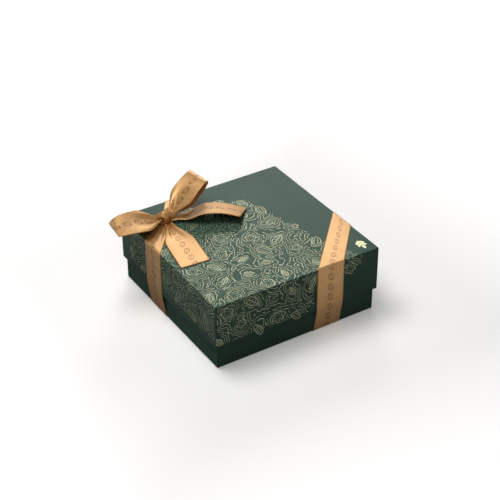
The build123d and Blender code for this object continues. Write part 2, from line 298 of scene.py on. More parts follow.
paper_green = wrap_paper("wrap_green_paper")
copper_satin = satin("copper_gold_satin")
sage_foil = foil("sage_gold_foil", tone(167, 170, 129), tone(181, 187, 154))
pale_foil = foil("pale_gold_foil", tone(226, 222, 172), tone(238, 236, 196))
raw_board = board_grey("raw_grey_board")
stay_kraft = kraft("stay_kraft_paper")
lining_cream = cream_paper("lining_cream_paper", tone(222, 209, 184), tone(232, 221, 198))
champagne = cream_paper("cushion_champagne_paper", tone(205, 180, 132), tone(216, 194, 148))
pad_gold = gold_board("layer_gold_board")
brown_film = tray_film("tray_brown_film")
milk = chocolate("milk_chocolate", tone(112, 68, 42), tone(124, 77, 49), 0.36)
dark = chocolate("dark_chocolate", tone(58, 33, 23), tone(66, 39, 28), 0.3)
white = chocolate("white_chocolate", tone(233, 214, 176), tone(240, 224, 190), 0.36)
dusted = cocoa_dust("cocoa_dusted_chocolate")


# Making pieces

def as_object(name, form, material):
    """A bmesh turned into an object of one material."""
    mesh = bpy.data.meshes.new(name)
    form.to_mesh(mesh)
    form.free()
    mesh.materials.append(material)
    made = bpy.data.objects.new(name, mesh)
    scene.collection.objects.link(made)
    return made


def as_piece(name, form, material, body, slot, smooth=True):
    """A bmesh turned into a piece that rides on a body, if one is given."""
    piece = as_object(name, form, material)
    for polygon in piece.data.polygons:
        polygon.use_smooth = smooth
    if body:
        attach(piece, body)
    return piece


def verts_of(parts):
    """The vertices among the parts of a mesh."""
    return [part for part in parts if isinstance(part, bmesh.types.BMVert)]


def give_thickness(piece, thickness, offset=0):
    """A Solidify modifier: the same either side of the sheet, or inwards with an offset of -1."""
    solidify = piece.modifiers.new("thickness", "SOLIDIFY")
    solidify.thickness = thickness
    solidify.offset = offset


def round_off(form, parts, radius, segments, affect="EDGES"):
    """Rounds edges or corners, and gives the new vertices."""
    return bmesh.ops.bevel(form, geom=parts, offset=radius, segments=segments, profile=0.5,
                           affect=affect, material=-1, clamp_overlap=True)["verts"]


def cloth_grid(place, columns, rows):
    """A strip shaped by a formula of its shares along and across, with UVs in mm, and its length."""
    reached = [0.0]
    for row in range(rows):
        step = place((row + 1) / rows, 0) - place(row / rows, 0)
        reached.append(reached[-1] + step.length)
    form = bmesh.new()
    form.loops.layers.uv.new("cut")
    bmesh.ops.create_grid(form, x_segments=columns, y_segments=rows, size=0.5, calc_uvs=True)
    cut = form.loops.layers.uv.active
    for face in form.faces:
        for loop in face.loops:
            across, row = loop.vert.co.x + 0.5, round((loop.vert.co.y + 0.5) * rows)
            loop[cut].uv = (across * ribbon_width / mm, reached[row] / mm)
    for vert in form.verts:
        vert.co = place(vert.co.y + 0.5, vert.co.x * 2)
    return form, reached[-1]


def ease(share):
    """A smooth step from nought to one."""
    share = min(max(share, 0), 1)
    return share * share * (3 - 2 * share)


def way(angle, tilt=0.0):
    """The unit vector of a heading in plan and a tilt above it, in degrees."""
    return Vector((cos(radians(angle)) * cos(radians(tilt)), sin(radians(angle)) * cos(radians(tilt)),
                   sin(radians(tilt))))


# The band of ribbon round the box

band_out = lid_half + satin_thickness / 2
band_in = base_half + satin_thickness / 2
band_top = lid_top + satin_thickness / 2
band_foot = satin_thickness / 2
fold_reach = 0.9 * mm
knot_waist = 9 * mm
knot_neck = 4 * mm
fan_reach = 34 * mm
fan_depth = 2.4 * mm
fan_pleats = 3.5
crossing_start = Vector((-band_out, left_y, band_top))
crossing_end = Vector((back_x, band_out, band_top))
crossing_way = (crossing_end - crossing_start).normalized()
crossing_side = Vector((crossing_way.y, -crossing_way.x, 0))
knot_place = Vector((knot_centre.x, knot_centre.y, band_top))
knot_foot = crossing_start + crossing_way * (knot_place - crossing_start).dot(crossing_way)
knot_foot += crossing_side * (knot_place - knot_foot).dot(crossing_side)


def rails(centre, across):
    """The two ends of a line across the ribbon."""
    return centre - across * ribbon_half, centre + across * ribbon_half


def band_lines():
    """The lines across the ribbon where the closed band folds or is drawn together, in order."""
    x_way, y_way = Vector((1, 0, 0)), Vector((0, 1, 0))
    waist = crossing_side * (knot_waist / ribbon_width)
    neck = crossing_way * knot_neck
    return [
        rails(Vector((front_x, -band_out, band_top)), x_way),
        rails(Vector((band_out, right_y, band_top)), -y_way),
        rails(Vector((band_out, right_y, skirt_z)), -y_way),
        rails(Vector((band_in, right_y, band_foot)), -y_way),
        rails(Vector((back_x, band_in, band_foot)), -x_way),
        rails(Vector((back_x, band_out, skirt_z)), -x_way),
        rails(Vector((back_x, band_out, band_top)), -x_way),
        rails(knot_foot + neck, -waist),
        rails(knot_foot - neck, -waist),
        rails(Vector((-band_out, left_y, band_top)), y_way),
        rails(Vector((-band_out, left_y, skirt_z)), y_way),
        rails(Vector((-band_in, left_foot_y, band_foot)), y_way),
        rails(Vector((front_foot_x, -band_in, band_foot)), x_way),
        rails(Vector((front_x, -band_out, skirt_z)), x_way),
        rails(Vector((front_x, -band_out, band_top)), x_way),
    ]


def make_band():
    """One closed strip: over the lid's right corner, round under the box, and over the left corner."""
    lines = band_lines()
    middles = [(first + second) / 2 for first, second in lines]
    stops = [0.0]
    for near, far in zip(middles, middles[1:]):
        stops.append(stops[-1] + (far - near).length)
    length = stops[-1]

    def taut(reach, share):
        reach %= length
        panel = next(index for index, stop in enumerate(stops[1:]) if reach <= stop)
        part = (reach - stops[panel]) / (stops[panel + 1] - stops[panel])
        (near_a, near_b), (far_a, far_b) = lines[panel], lines[panel + 1]
        return near_a.lerp(far_a, part).lerp(near_b.lerp(far_b, part), share)

    def place(along, across):
        share = (across + 1) / 2
        steps = [along * length + fold_reach * step for step in (-1, -0.5, 0, 0.5, 1)]
        point = sum((taut(step, share) for step in steps), Vector()) / len(steps)
        off_knot = (point - knot_foot).length
        if point.z > skirt_z and off_knot < fan_reach:
            drawn = (1 - off_knot / fan_reach) ** 2
            point.z += fan_depth * drawn * (1 - cos(2 * pi * fan_pleats * share)) / 2
        return point

    form, cut = cloth_grid(place, columns=20, rows=620)
    bmesh.ops.remove_doubles(form, verts=form.verts, dist=0.01 * mm)
    band = as_piece("satin_band", form, copper_satin, None, "satin_ribbon")
    give_thickness(band, satin_thickness)
    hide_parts("ribbon_top_right", "ribbon_top_left", "ribbon_bottom_front",
                "ribbon_bottom_back", "ribbon_run_front", "ribbon_run_right", "ribbon_run_back",
                "ribbon_run_left")
    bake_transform(band)


# The bow

knot_heading = 17
knot_middle = lid_top + satin_thickness + 5.5 * mm
bow_centre = Vector((knot_centre.x, knot_centre.y, knot_middle))
pinch = 6.4 * mm
pleat_waves = 3
loop_root = 4.0 * mm
tail_root = 3.5 * mm
tail_drop = 3 * mm
tail_tilt = -15.2
lie_z = lid_top + 1.5 * satin_thickness


def spread(share, spread_share):
    """Half the ribbon's width at a share of its way, which starts pinched in the knot."""
    return (pinch + (ribbon_width - pinch) * ease(share / spread_share)) / 2


def gather(share, across, crease, crease_share, pleat, pleat_share):
    """How high the knot's crease and pleats hold the ribbon, less and less along its way."""
    valley = crease * (1 - ease(share / crease_share)) * (1 + cos(pi * across)) / 2
    return pleat * (1 - ease(share / pleat_share)) * cos(pleat_waves * pi * across) - valley


def make_loop(name, stands_for, tip, heading, rise, skew, roll, cant, bend):
    """A loop: one strip that leaves the knot, folds back at its tip and returns below."""
    gape, root_gap = 4.7 * mm, 1.4 * mm
    crease, crease_share = 3.2 * mm, 0.85
    pleat, pleat_share = 0.9 * mm, 0.6
    spread_share = 0.46
    root = bow_centre + way(heading) * loop_root
    reach = tip - loop_root
    run = (way(heading) * reach + Vector((0, 0, rise))).normalized()
    length = hypot(reach, rise)
    lift = run.cross(way(heading + 90))

    def place(along, across):
        turn = 2 * pi * along
        share = (1 - cos(turn)) / 2
        height = gape * sin(turn) * sin(turn / 2) + root_gap / 2 * cos(turn / 2)
        height += gather(share, across, crease, crease_share, pleat, pleat_share)
        aslant = way(heading + 90 + skew * ease(share), roll * share + cant * sin(turn))
        aside = way(heading + 90) * (bend * sin(turn))
        middle = root + run * (length * share) + lift * height
        return middle + aside + aslant * (spread(share, spread_share) * across)

    form, cut = cloth_grid(place, columns=28, rows=90)
    loop = as_piece(name, form, copper_satin, "lid", "satin_ribbon")
    give_thickness(loop, satin_thickness)
    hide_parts(stands_for)


def make_tail(name, stands_for, tip, heading, fall_power, end_z, skew,
              arch=0, sag=0, bend=0, first_tilt=0, tilt=0):
    """A tail: a strip that leaves the knot, and sags and arches or falls to the lid."""
    crease, crease_share = 2.2 * mm, 0.6
    pleat, pleat_share = 0.7 * mm, 0.45
    spread_share = 0.5
    root = bow_centre - Vector((0, 0, tail_drop)) + way(heading) * tail_root
    reach = tip - tail_root

    def place(along, across):
        hump = 4 * along * (1 - along)
        height = (end_z - root.z) * (1 - (1 - along) ** fall_power) + arch * hump
        height -= sag * sin(pi * min(2 * along, 1)) ** 2
        height += gather(along, across, crease, crease_share, pleat, pleat_share)
        aslant = way(heading + 90 + skew * along, first_tilt * (1 - along) + tilt * along)
        aside = way(heading + 90) * (bend * hump)
        middle = root + way(heading) * (reach * along) + Vector((0, 0, height))
        return middle + aside + aslant * (spread(along, spread_share) * across)

    form, cut = cloth_grid(place, columns=28, rows=60)
    tail = as_piece(name, form, copper_satin, "lid", "satin_ribbon")
    give_thickness(tail, satin_thickness)
    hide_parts(stands_for)


def make_knot_bundle(name, along_axis, turned, radius, slant):
    """Half of the knot: gathered ribbon wound round between the loops, with pleats aslant."""
    bundle_length, neck = 6.8 * mm, 2.4 * mm
    pleats, pleat = 4, 0.72 * mm
    axis, side = way(knot_heading + turned), way(knot_heading + turned + 90)
    centre = bow_centre + way(knot_heading) * along_axis

    def place(along, across):
        turn = 2 * pi * along
        slack = neck * (1 - (1 - min(across * across, 1)) ** 0.5)
        lie = across + slant * sin(turn)
        reach = radius - slack + pleat * cos(2 * pi * pleats * lie)
        point = centre + axis * (across * bundle_length / 2)
        point += side * (cos(turn) * reach) + Vector((0, 0, sin(turn) * reach))
        point.z = max(point.z, lid_top + satin_thickness)
        return point

    form, cut = cloth_grid(place, columns=72, rows=72)
    bmesh.ops.remove_doubles(form, verts=form.verts, dist=0.01 * mm)
    bundle = as_piece(name, form, copper_satin, "lid", "satin_ribbon")
    give_thickness(bundle, satin_thickness)
    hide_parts("bow_knot")


make_band()
make_knot_bundle("satin_knot_left", along_axis=-3.2 * mm, turned=22, radius=4.7 * mm, slant=0.35)
make_knot_bundle("satin_knot_right", along_axis=3 * mm, turned=-18, radius=4.5 * mm, slant=-0.35)
make_loop("satin_loop_right", "bow_loop_right", tip=38.3 * mm, heading=14.2, rise=21 * mm,
          skew=-9.5, roll=-3.5, cant=1.5, bend=-0.9 * mm)
make_loop("satin_loop_left", "bow_loop_left", tip=46.7 * mm, heading=179.8, rise=3 * mm,
          skew=-8.9, roll=4.5, cant=-16, bend=2.6 * mm)
make_tail("satin_tail_right", "bow_tail_right", tip=62.8 * mm, heading=-24.5, fall_power=1,
          end_z=lie_z + ribbon_half * sin(radians(-tail_tilt)), skew=-20.8, arch=4 * mm,
          sag=3.3 * mm, bend=5.2 * mm, first_tilt=-6, tilt=tail_tilt)
make_tail("satin_tail_front", "bow_tail_front", tip=65.5 * mm, heading=-99, fall_power=1.9,
          end_z=lie_z, skew=5)


# The foil print, drawn flat on the unfolded lid: its top, and its front and left skirts

edge_round = 0.6 * mm
print_lift = 0.04 * mm
print_step = 0.55 * mm
contour_gap = 2.45 * mm
contour_width = 0.38 * mm
first_contour = 0.35
contour_break = 0.38
motif_gap = 17.5 * mm
motif_count = 60
motif_tries = 9000
skirt_print = 36 * mm
print_stray = 4 * mm
Motif = namedtuple("Motif", "u v heading kind size")
draw = random.Random(11)


def wander(u, v, size, seed):
    """Smooth noise between about -1 and 1, over patches of a size."""
    return noise.noise(Vector((u / size, v / size, seed)))


def top_reach(v):
    """How far right the print goes over the lid's top: less towards the back, where it ends."""
    bounds_mm = [(-75, 57), (-47, 45), (-18, 38), (13, 31), (42, 24), (54, -8), (61, -75)]
    for (near, near_reach), (far, far_reach) in zip(bounds_mm, bounds_mm[1:]):
        if v <= far * mm:
            share = (v / mm - near) / (far - near)
            return (near_reach + (far_reach - near_reach) * share) * mm
    return -lid_half


def printed(u, v):
    """Whether a place of the unfolded lid is within the print, whose bounds wander."""
    deep_end, shallow_print = 14 * mm, 10 * mm
    front_end, left_end = 60 * mm, 61 * mm
    corner = lid_half - 1.5 * edge_round
    stray = print_stray * wander(u, v, 9 * mm, 3)
    if v < -lid_half:
        low = skirt_print if u < deep_end + stray else shallow_print
        return u > -corner and -v - lid_half < low + stray / 3 and u < front_end + stray
    if u < -lid_half:
        low = skirt_print - print_stray
        return v > -corner and -u - lid_half < low + stray and v < left_end + stray
    return u < top_reach(v) + stray


def scatter_motifs():
    """The motifs at places kept apart, each with a heading, a kind and a size."""
    motifs = []
    for _ in range(motif_tries):
        u, v = draw.uniform(-1.5, 0.8) * lid_half, draw.uniform(-1.5, 0.8) * lid_half
        if printed(u, v) and all(hypot(u - other.u, v - other.v) > motif_gap for other in motifs):
            kind = draw.choice(("leaf", "leaf", "pod", "blossom"))
            motifs.append(Motif(u, v, draw.uniform(0, 2 * pi), kind, draw.uniform(0.7, 1.25)))
        if len(motifs) == motif_count:
            break
    return motifs


def local(motif, u, v):
    """A place in a motif's own axes and size."""
    across, up = (u - motif.u) / motif.size, (v - motif.v) / motif.size
    along_u, along_v = cos(motif.heading), sin(motif.heading)
    return across * along_u + up * along_v, up * along_u - across * along_v


leaf_half, leaf_waist = 6.4 * mm, 2.7 * mm
pod_half, pod_waist = 5.4 * mm, 3.1 * mm
petal_count, petal_reach = 5, 4.2 * mm
vein_gap, vein_climb, vein_share = leaf_half / 2.6, 1.5 * mm, 0.8
stamen_foot, stamen_length = 1.1 * mm, 1.6 * mm
stroke_width, vein_width = 0.5 * mm, 0.36 * mm


def leaf_side(along):
    """Half the width of a leaf at a place along it."""
    return leaf_waist * max(1 - (along / leaf_half) ** 2, 0) * (1 + 0.25 * along / leaf_half)


def pod_side(along):
    """Half the width of a cocoa pod at a place along it."""
    return pod_waist * max(1 - (along / pod_half) ** 2, 0) ** 0.6


def room_round(motif, u, v):
    """The distance to a motif's outline, nearly."""
    along, aside = local(motif, u, v)
    if motif.kind == "leaf":
        room = hypot(max(abs(along) - leaf_half, 0), max(abs(aside) - leaf_side(along), 0))
    elif motif.kind == "pod":
        room = max(hypot(along / pod_half, aside / pod_waist) - 1, 0) * pod_waist
    else:
        room = max(hypot(along, aside) - petal_reach, 0)
    return room * motif.size


def contour_height(motifs, u, v):
    """The count of contour lines between a place and the nearest motif."""
    broad_sway, fine_sway = 2.4 * mm, 1.1 * mm
    broad_stray, fine_stray = 1.3, 0.5
    far_off = 2 * motif_gap
    swayed = [place + broad_sway * wander(u, v, 8 * mm, seed)
              + fine_sway * wander(u, v, 3.4 * mm, seed + 1) for place, seed in ((u, 11), (v, 21))]
    rooms = [room_round(motif, *swayed) for motif in motifs
             if abs(motif.u - u) < far_off and abs(motif.v - v) < far_off]
    nearest = min(rooms, default=far_off)
    stray = broad_stray * wander(u, v, 9 * mm, 31) + fine_stray * wander(u, v, 4 * mm, 32)
    return nearest / contour_gap + stray * ease(nearest / contour_gap)


def draw_contours(form, motifs):
    """Lines at even distances round the motifs, cut out of a fine grid by level planes."""
    side = 2 * lid_half + skirt_print
    count = int(side / print_step)
    bmesh.ops.create_grid(form, x_segments=count, y_segments=count, size=side / 2)
    bmesh.ops.translate(form, verts=form.verts, vec=(-skirt_print / 2, -skirt_print / 2, 0))
    bare = [vert for vert in form.verts if not printed(vert.co.x, vert.co.y)]
    bmesh.ops.delete(form, geom=bare, context="VERTS")
    for vert in form.verts:
        vert.co.z = contour_height(motifs, vert.co.x, vert.co.y)
    half = contour_width / contour_gap / 2
    for level in range(int(max(vert.co.z for vert in form.verts)) + 1):
        for edge in (level + first_contour - half, level + first_contour + half):
            whole = form.verts[:] + form.edges[:] + form.faces[:]
            bmesh.ops.bisect_plane(form, geom=whole, dist=1e-6, plane_co=(0, 0, edge),
                                   plane_no=(0, 0, 1))
    gaps = []
    for face in form.faces:
        face.normal_update()
        middle = face.calc_center_median()
        level = (middle.z - first_contour) % 1
        off = abs(level - round(level))
        broken = wander(middle.x, middle.y, 3.4 * mm, 41) > contour_break
        blotted = hypot(face.normal.x, face.normal.y) * contour_gap < 0.5 * abs(face.normal.z)
        if off > half or broken or blotted or middle.z < 0:
            gaps.append(face)
    bmesh.ops.delete(form, geom=gaps, context="FACES")


def stroke(form, path, steps, width):
    """One tapering stroke along a path, which gives a place for each share from nought to one."""
    step, end_share = 0.02, 0.35
    verts = bmesh.ops.create_grid(form, x_segments=steps, y_segments=1, size=0.5)["verts"]
    for vert in verts:
        share, side = vert.co.x + 0.5, vert.co.y * 2
        near, far = Vector(path(max(share - step, 0))), Vector(path(min(share + step, 1)))
        line = (far - near).normalized()
        swell = sin(pi * min(max(share, step), 1 - step))
        half = width / 2 * (end_share + (1 - end_share) * swell)
        middle = Vector(path(share))
        vert.co = (middle.x - line.y * side * half, middle.y + line.x * side * half, 0)


def draw_motif(form, motif):
    """A leaf with veins, a ribbed cocoa pod or a five-petalled blossom."""
    def placed(along, aside):
        along_u, along_v = cos(motif.heading), sin(motif.heading)
        return (motif.u + (along * along_u - aside * along_v) * motif.size,
                motif.v + (along * along_v + aside * along_u) * motif.size)

    def outward(turn, reach):
        return placed(reach * cos(turn), reach * sin(turn))

    def side_line(half_length, side_of, share_of_side):
        def path(share):
            along = half_length * (2 * share - 1)
            return placed(along, side_of(along) * share_of_side)
        return path

    if motif.kind == "leaf":
        for share_of_side in (-1, 0, 1):
            stroke(form, side_line(leaf_half, leaf_side, share_of_side), 16, stroke_width)
        for vein in range(-2, 2):
            foot = vein * vein_gap
            reach = vein_share * leaf_side(foot + vein_climb)
            for side in (-1, 1):
                stroke(form, lambda share: placed(foot + vein_climb * share, side * reach * share),
                       4, vein_width)
    elif motif.kind == "pod":
        for share_of_side in (-1, -0.4, 0.4, 1):
            stroke(form, side_line(pod_half, pod_side, share_of_side), 16, stroke_width)
    else:
        for petal in range(petal_count):
            middle = 2 * pi * petal / petal_count

            def petal_edge(share):
                turn = middle + (share - 0.5) * 2 * pi / petal_count
                return outward(turn, petal_reach * (0.5 + 0.5 * sin(pi * share) ** 0.6))

            stroke(form, petal_edge, 12, stroke_width)
            stroke(form, lambda share: outward(middle, stamen_foot + stamen_length * share),
                   3, vein_width)


def over_edge(reach):
    """Where a length along the paper lies past the lid's edge: its place across, and its drop."""
    past = -reach - (lid_half - edge_round)
    if past <= 0:
        return reach, 0.0
    turn = min(past / edge_round, pi / 2)
    outer = edge_round + print_lift
    return (-(lid_half - edge_round) - outer * sin(turn),
            outer * (1 - cos(turn)) + max(past - edge_round * pi / 2, 0))


def make_print():
    """The print as thin foil on the wrap, folded down with it."""
    form = bmesh.new()
    motifs = scatter_motifs()
    draw_contours(form, motifs)
    for motif in motifs:
        draw_motif(form, motif)
    for vert in form.verts:
        x, x_drop = over_edge(vert.co.x)
        y, y_drop = over_edge(vert.co.y)
        vert.co = (x, y, lid_top + print_lift - x_drop - y_drop)
    bmesh.ops.recalc_face_normals(form, faces=form.faces)
    as_piece("lid_foil_print", form, sage_foil, "lid", "wrap_green", smooth=False)


def make_sprig():
    """A small sprig of solid leaves in pale gold, near the lid's front right corner."""
    foot, stem = Vector((66 * mm, -57 * mm)), 13 * mm
    leaf, leaf_width, leaf_lean = 5 * mm, 2.5 * mm, 48
    form = bmesh.new()

    def blade(climb, lean, length, width):
        root = foot + Vector((0, -climb))
        line = Vector((sin(radians(lean)), -cos(radians(lean)))) * length
        stroke(form, lambda share: root + line * share, 8, width)

    blade(0, 0, stem - leaf, stroke_width)
    blade(stem - leaf, 0, leaf, leaf_width)
    for climb in (2.2 * mm, 5.4 * mm):
        for lean in (-leaf_lean, leaf_lean):
            blade(climb, lean, leaf, leaf_width)
    bmesh.ops.translate(form, verts=form.verts, vec=(0, 0, lid_top + print_lift))
    bmesh.ops.recalc_face_normals(form, faces=form.faces)
    as_piece("lid_gold_sprig", form, pale_foil, "lid", "wrap_green", smooth=False)


make_print()
make_sprig()


# Inside: the cushion pad under the lid, the trays and the chocolates

pad_low, pad_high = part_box("lid_cushion_pad")
tray_low, tray_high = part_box("upper_tray")
film = 0.5 * mm
tray_rim = 4 * mm
pocket_land = 4.2 * mm
pocket_depth = 16 * mm
pocket_draft = 2 * mm
pocket_corner = 2.5 * mm
pocket_floor_round, pocket_rim_round, deck_round = 1.6 * mm, 0.7 * mm, 1.1 * mm
corner_cut_share = 1.4
pockets_each_way = 4
pocket_pitch = (tray_high.x - tray_low.x - 2 * tray_rim) / pockets_each_way
praline_low, praline_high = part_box("upper_square_pralines")
praline_height = praline_high.z - praline_low.z
praline_half = praline_high.x - (pockets_each_way - 1) / 2 * pocket_pitch
loose_turn = 1.4


def make_cushion_pad():
    """Quilted padding in diamonds, pressed flat along its edges, crowned towards the chocolates."""
    half, diamond, border, rim = pad_high.x, 16 * mm, 6 * mm, 1.2 * mm
    crown, seam_share = pad_high.z - pad_low.z - rim, 0.45
    form = bmesh.new()
    bmesh.ops.create_grid(form, x_segments=110, y_segments=110, size=half)
    for vert in form.verts:
        inward = min(half - abs(vert.co.x), half - abs(vert.co.y))
        seams = [abs(sin(pi * (vert.co.x + sign * vert.co.y) / diamond)) for sign in (-1, 1)]
        puff = min(seams[0], seams[1]) ** 0.5
        swell = seam_share + (1 - seam_share) * puff
        vert.co.z = pad_high.z - rim - crown * ease(inward / border) * swell
    lower = form.faces[:]
    bmesh.ops.reverse_faces(form, faces=lower)
    raised = bmesh.ops.extrude_face_region(form, geom=lower, use_keep_orig=True)["geom"]
    for vert in verts_of(raised):
        vert.co.z = pad_high.z
    bmesh.ops.recalc_face_normals(form, faces=form.faces)
    pad = as_piece("quilted_lid_pad", form, champagne, "lid", "cushion_paper")
    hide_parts("lid_cushion_pad")


def soften(piece):
    """Shading that keeps flats flat between rounded edges."""
    normals = piece.modifiers.new("even_shading", "WEIGHTED_NORMAL")
    normals.keep_sharp = True


def level_with(height, part):
    """Whether a face or an edge lies at a height."""
    return all(abs(vert.co.z - height) < film / 2 for vert in part.verts)


def lay_deck(form, low, high):
    """A tray's deck, cut into one cell for each pocket, with a rim and a drawn skirt round it."""
    bmesh.ops.create_grid(form, x_segments=pockets_each_way, y_segments=pockets_each_way,
                          size=pocket_pitch * pockets_each_way / 2)
    bmesh.ops.translate(form, verts=form.verts, vec=(0, 0, high.z))
    cells = form.faces[:]
    for scale, drop in ((high.x / (high.x - tray_rim), 0), (1, high.z - low.z)):
        edges = [edge for edge in form.edges if edge.is_boundary]
        drawn = verts_of(bmesh.ops.extrude_edge_only(form, edges=edges)["geom"])
        bmesh.ops.scale(form, verts=drawn, vec=(scale, scale, 1))
        bmesh.ops.translate(form, verts=drawn, vec=(0, 0, -drop))
    return cells


def sink_pockets(form, mouths, high):
    """Drafted cups drawn down from their mouths. Gives the edges of their floors and of their rims."""
    mouth = pocket_pitch - pocket_land
    floor_share = (mouth - 2 * pocket_draft) / mouth
    floors, rims = set(), set()
    for cell in mouths:
        middle = Matrix.Translation(-cell.calc_center_median())
        sunk = bmesh.ops.extrude_discrete_faces(form, faces=[cell])["faces"][0]
        bmesh.ops.scale(form, verts=sunk.verts, vec=(floor_share, floor_share, 1), space=middle)
        bmesh.ops.translate(form, verts=sunk.verts, vec=(0, 0, -pocket_depth))
        floors.update(sunk.edges)
        walls = {face for edge in sunk.edges for face in edge.link_faces if face is not sunk}
        rims.update(edge for wall in walls for edge in wall.edges if level_with(high.z, edge))
    return floors, rims


def make_tray(name):
    """A thermoformed tray: drafted cups with round corners, sunk in a deck on a drawn skirt."""
    low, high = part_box(name)
    form = bmesh.new()
    cells = lay_deck(form, low, high)
    bmesh.ops.inset_individual(form, faces=cells, thickness=pocket_land / 2, use_even_offset=True)
    corners = [vert for cell in cells for vert in cell.verts]
    round_off(form, corners, pocket_corner * corner_cut_share, 4, "VERTICES")
    mouth_area = (pocket_pitch - pocket_land) ** 2
    mouths = [face for face in form.faces if level_with(high.z, face)
              and 0.9 < face.calc_area() / mouth_area < 1.01]
    floors, rims = sink_pockets(form, mouths, high)
    round_off(form, list(floors), pocket_floor_round, 4)
    round_off(form, [edge for edge in rims if edge.is_valid], pocket_rim_round, 3)
    brow = [edge for edge in form.edges if len(edge.link_faces) == 2 and edge.calc_face_angle() > 1.2
            and max(abs(edge.verts[0].co.x), abs(edge.verts[0].co.y)) > high.x - film]
    round_off(form, brow, deck_round, 4)
    bmesh.ops.recalc_face_normals(form, faces=form.faces)
    if sum(face.normal.z for face in form.faces) < 0:
        bmesh.ops.reverse_faces(form, faces=form.faces)
    tray = as_piece(f"{name}_film", form, brown_film, "base", "tray_brown")
    give_thickness(tray, film, offset=-1)
    soften(tray)
    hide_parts(name)


def chocolate_foot(form, sides, half_x, half_y, corner):
    """The foot of a chocolate: a ring with round corners, or an oval where there is no corner."""
    if corner:
        square = bmesh.ops.create_grid(form, x_segments=1, y_segments=1, size=half_x)["verts"]
        rounded = round_off(form, square, corner * corner_cut_share, sides, "VERTICES")
        return rounded[0].link_faces[0]
    verts = bmesh.ops.create_circle(form, cap_ends=True, segments=sides, radius=1)["verts"]
    bmesh.ops.scale(form, verts=verts, vec=(half_x, half_y, 1))
    return verts[0].link_faces[0]


def build_up(form, face, levels):
    """A closed block raised from a foot in levels of height and share of the foot's size."""
    foot = face.copy()
    verts = {*face.verts, *foot.verts}
    height_now, share_now = 0.0, 1.0
    for height, share in levels:
        raised = bmesh.ops.extrude_discrete_faces(form, faces=[face])["faces"][0]
        bmesh.ops.scale(form, verts=raised.verts, vec=(share / share_now, share / share_now, 1))
        bmesh.ops.translate(form, verts=raised.verts, vec=(0, 0, height - height_now))
        verts.update(raised.verts)
        face, height_now, share_now = raised, height, share
    return verts


def make_square(form):
    """A square block with a bevel, a sunk top and a cushion in it."""
    foot = chocolate_foot(form, 5, praline_half, praline_half, pocket_corner)
    tall = praline_height
    levels = [(0.4 * mm, 1.0), (0.7 * tall, 0.915), (0.77 * tall, 0.895), (0.965 * tall, 0.75),
              (0.985 * tall, 0.7), (0.985 * tall, 0.64), (0.93 * tall, 0.6), (0.93 * tall, 0.55),
              (0.965 * tall, 0.5), (0.985 * tall, 0.42), (tall, 0.3), (tall, 0.08)]
    return build_up(form, foot, levels)


def make_dome(form):
    """A round block with a foot ring, and flutes that turn as they climb the crown."""
    foot = chocolate_foot(form, 96, praline_half, praline_half, 0)
    tall, ring_share, flute_depth, flute_lean = praline_height, 0.16, 0.9 * mm, 1.6
    spring = 0.4 * tall
    levels = [(0.3 * mm, 1.0), (0.11 * tall, 1.0), (0.14 * tall, 0.955), (ring_share * tall, 0.94)]
    levels += [(spring * share, 0.93 - 0.02 * share) for share in (0.5, 0.75, 1)]
    for turn in range(8, 89, 8):
        levels.append((spring + (tall - spring) * sin(radians(turn)), 0.91 * cos(radians(turn)) + 0.01))
    verts = build_up(form, foot, levels)
    for vert in verts:
        climb = max(vert.co.z - ring_share * tall, 0) / ((1 - ring_share) * tall)
        reach = hypot(vert.co.x, vert.co.y)
        turn = atan2(vert.co.y, vert.co.x)
        flute = abs(sin(6 * turn + flute_lean * climb * pi)) if vert.co.z > 0.15 * tall else 1
        depth = flute_depth * min(climb * 6, 1) * (reach / praline_half) * (1 - flute ** 0.7)
        vert.co.x -= cos(turn) * depth
        vert.co.y -= sin(turn) * depth
    return verts


def make_oval(form):
    """An oval block with a stepped top, ribbed lengthwise."""
    foot = chocolate_foot(form, 64, praline_half, 0.7 * praline_half, 0)
    tall, rib_depth, rib_pitch = praline_height, 0.5 * mm, 2.6 * mm
    levels = [(0.3 * mm, 1.0), (0.62 * tall, 0.955), (0.67 * tall, 0.93), (0.72 * tall, 0.89),
              (0.86 * tall, 0.79), (0.89 * tall, 0.76), (0.9 * tall, 0.7), (0.93 * tall, 0.66),
              (0.97 * tall, 0.6), (0.99 * tall, 0.52), (0.99 * tall, 0.42), (tall, 0.3), (tall, 0.16),
              (tall, 0.05)]
    verts = build_up(form, foot, levels)
    for vert in verts:
        if vert.co.z > 0.92 * tall:
            vert.co.z -= rib_depth * abs(sin(pi * vert.co.y / rib_pitch))
    return verts


def make_pyramid(form):
    """A blunt pyramid on a square foot, softened by its coat of cocoa."""
    foot = chocolate_foot(form, 5, praline_half, praline_half, pocket_corner)
    tall, crumb, crumb_size, coat = praline_height, 0.22 * mm, 2.5 * mm, 0.15 * mm
    levels = [(0.4 * mm, 1.0), (0.3 * tall, 1.0), (0.33 * tall, 0.985)]
    for climb in (0.08, 0.3, 0.5, 0.7, 0.9, 1):
        levels.append((tall * (0.36 + 0.62 * climb), 0.97 - 0.61 * climb))
    levels += [(0.995 * tall, 0.33), (tall, 0.24), (tall, 0.1)]
    verts = build_up(form, foot, levels)
    for vert in verts:
        if vert.co.z > 0.4 * mm:
            rough = crumb * noise.noise(vert.co / crumb_size)
            vert.co += Vector((vert.co.x, vert.co.y, 0)).normalized() * (rough - coat)
    return verts


kinds = (("square", make_square, milk, "milk_chocolate"), ("dome", make_dome, dark, "dark_chocolate"),
         ("oval", make_oval, white, "white_chocolate"), ("pyramid", make_pyramid, dusted, "cocoa_dusted"))


